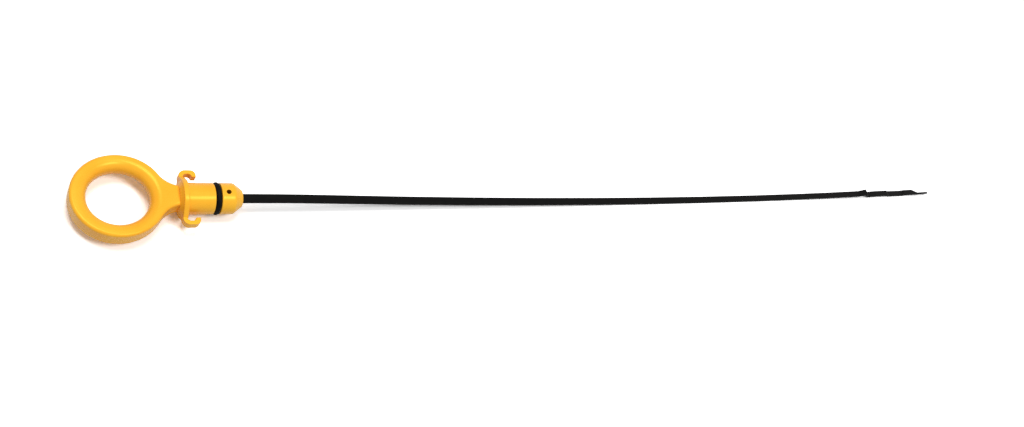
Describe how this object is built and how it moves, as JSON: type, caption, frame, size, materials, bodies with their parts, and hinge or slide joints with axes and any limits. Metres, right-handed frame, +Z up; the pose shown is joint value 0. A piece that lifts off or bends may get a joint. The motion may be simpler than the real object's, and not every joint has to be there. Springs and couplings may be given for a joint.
{
  "type": "engine oil dipstick",
  "caption": "Engine oil dipstick with a yellow finger-ring handle, bayonet claws, a sealing O-ring and a long flat black blade that ends in formed level marks and a narrow tongue.",
  "frame": {"origin": "middle of the seat: the flange face that meets the mouth of the guide tube, on the stopper's axis", "axes": "+X along the stopper's axis from the seat to the blade, +Y across the finger ring, +Z up with the dipstick lying on a bench"},
  "size_m": [0.5843, 0.0354, 0.0164],
  "materials": {
    "handle_plastic": "yellow-orange moulded plastic, satin gloss",
    "o_ring_rubber": "matt black rubber",
    "blade_steel": "spring steel strip with a thin black coating, low sheen"
  },
  "bodies": {
    "root": {"handle": "handle_plastic", "o_ring": "o_ring_rubber", "blade": "blade_steel"}
  },
  "joints": []
}
